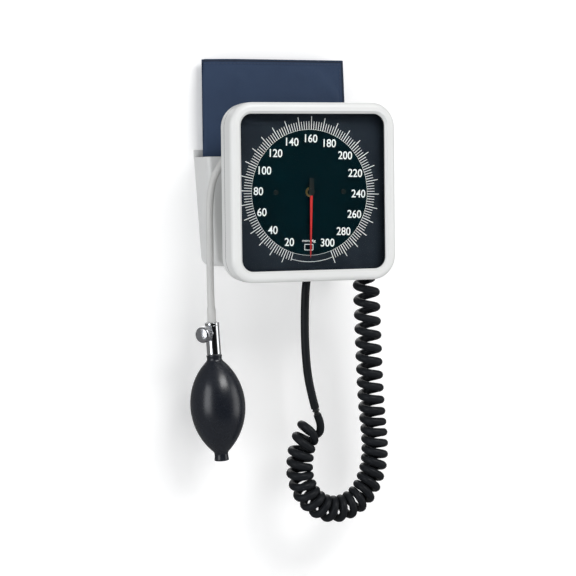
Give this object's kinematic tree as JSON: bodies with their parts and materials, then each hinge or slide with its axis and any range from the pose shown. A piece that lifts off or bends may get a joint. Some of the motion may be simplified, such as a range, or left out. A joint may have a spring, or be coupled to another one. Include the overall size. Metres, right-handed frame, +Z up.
{
  "type": "wall-mounted aneroid sphygmomanometer",
  "caption": "Square-dial aneroid blood pressure gauge on a wall basket, with a folded cuff, an inflation bulb with a release valve, and a coiled hose.",
  "frame": {"origin": "centre of the four wall-screw holes on the basket's back face, level with the pointer's axis", "axes": "+X to the user's right, -Y out from the wall towards the user, +Z up"},
  "size_m": [0.1948, 0.1, 0.4406],
  "materials": {
    "case_white": "satin moulded",
    "lens_clear": "clear",
    "seal_rubber": "matt",
    "dial_black": "matt",
    "spacer_black": "matt",
    "black_steel": "black oxide",
    "steel": "turned",
    "movement_brass": "stamped",
    "spring_bronze": "rolled strip",
    "jewel_red": "polished",
    "capsule_copper": "pressed",
    "pointer_red": "satin",
    "tube_silicone": "soft",
    "hub_black": "moulded",
    "basket_white": "moulded",
    "cuff_nylon": "woven",
    "bladder_rubber": "smooth",
    "hook_tape": "hooks",
    "hose_grey": "satin",
    "hose_black": "satin",
    "connector_black": "moulded",
    "valve_chrome": "polished",
    "check_plastic": "moulded",
    "disc_rubber": "soft",
    "bulb_rubber": "satin"
  },
  "bodies": {
    "root": {"front_bezel": "case_white", "rear_shell": "case_white", "gauge_port": "case_white", "lens": "lens_clear", "lens_gasket": "seal_rubber", "case_gasket": "seal_rubber", "dial_plate": "dial_black", "dial_spacer": "spacer_black", "dial_screws": "black_steel", "case_screws": "steel", "hub_screws": "steel", "capsule_nut": "steel", "movement_front_plate": "movement_brass", "movement_rear_plate": "movement_brass", "movement_pillars": "movement_brass", "capsule_stud": "movement_brass", "hairspring": "spring_bronze", "pivot_jewels": "jewel_red", "capsule_front_half": "capsule_copper", "capsule_rear_half": "capsule_copper", "capsule_tube": "tube_silicone", "mounting_hub": "hub_black", "wall_basket": "basket_white", "cuff_hose": "hose_black", "coiled_hose": "hose_black", "coil_lead": "hose_black", "coil_tail": "hose_black", "connector_socket": "connector_black", "connector_plug": "connector_black"},
    "sector": {"sector_gear": "movement_brass"},
    "pointer": {"pointer_arbor": "steel", "pointer": "pointer_red", "pointer_hub": "black_steel"},
    "rocker": {"rocker_shaft": "steel"},
    "push_pin": {"capsule_push_pin": "movement_brass"},
    "cuff": {"cuff_cover": "cuff_nylon", "cuff_bladder": "bladder_rubber", "hook_patch": "hook_tape", "cuff_port_bulb": "hose_grey", "cuff_port_gauge": "bladder_rubber", "bulb_hose": "hose_grey", "valve_body": "valve_chrome", "outlet_seat": "check_plastic", "bulb": "bulb_rubber", "bulb_inlet": "check_plastic"},
    "valve_stem": {"valve_stem": "steel"},
    "valve_knob": {"valve_thumbscrew": "valve_chrome"},
    "outlet_disc": {"outlet_disc": "disc_rubber"},
    "inlet_ball": {"inlet_ball": "steel"}
  },
  "joints": [
    {"name": "sector_swing", "type": "hinge", "parent": "root", "child": "sector", "pos_m": [0.02694, 0, -0.0055], "axis": [0, -1, 0], "range_deg": [0, 33.75], "stiffness_Nm_per_rad": 0.02, "springref_deg": -5.73},
    {"name": "pointer_turn", "type": "hinge", "parent": "root", "child": "pointer", "pos_m": [0, 0, 0], "axis": [0, 1, 0], "range_deg": [0, 337.5]},
    {"name": "rocker_tilt", "type": "hinge", "parent": "root", "child": "rocker", "pos_m": [0, -0.0734, -0.004], "axis": [1, 0, 0], "range_deg": [0, 17.5]},
    {"name": "capsule_rise", "type": "slide", "parent": "root", "child": "push_pin", "axis": [0, -1, 0], "range_m": [0, 0.0012]},
    {"name": "cuff_lift", "type": "slide", "parent": "root", "child": "cuff", "axis": [0, 0, 1], "range_m": [0, 0.08]},
    {"name": "valve_turn", "type": "hinge", "parent": "valve_stem", "child": "valve_knob", "pos_m": [-0.08288, -0.0465, -0.13008], "axis": [-0.8074, -0.5878, -0.0508], "range_deg": [0, 270]},
    {"name": "valve_travel", "type": "slide", "parent": "cuff", "child": "valve_stem", "axis": [-0.8074, -0.5878, -0.0508], "range_m": [0, 0.00053]},
    {"name": "outlet_disc_lift", "type": "slide", "parent": "cuff", "child": "outlet_disc", "axis": [-0.0628, 0, 0.998], "range_m": [0, 0.001]},
    {"name": "inlet_ball_lift", "type": "slide", "parent": "cuff", "child": "inlet_ball", "axis": [-0.0628, 0, 0.998], "range_m": [0, 0.001]}
  ],
  "couplings": [
    {"joint": "pointer_turn", "follows": "sector_swing", "ratio": 10},
    {"joint": "rocker_tilt", "follows": "sector_swing", "ratio": 0.51852},
    {"joint": "capsule_rise", "follows": "sector_swing", "m_per_rad": 0.0020372},
    {"joint": "valve_travel", "follows": "valve_turn", "m_per_rad": 0.00011141}
  ]
}
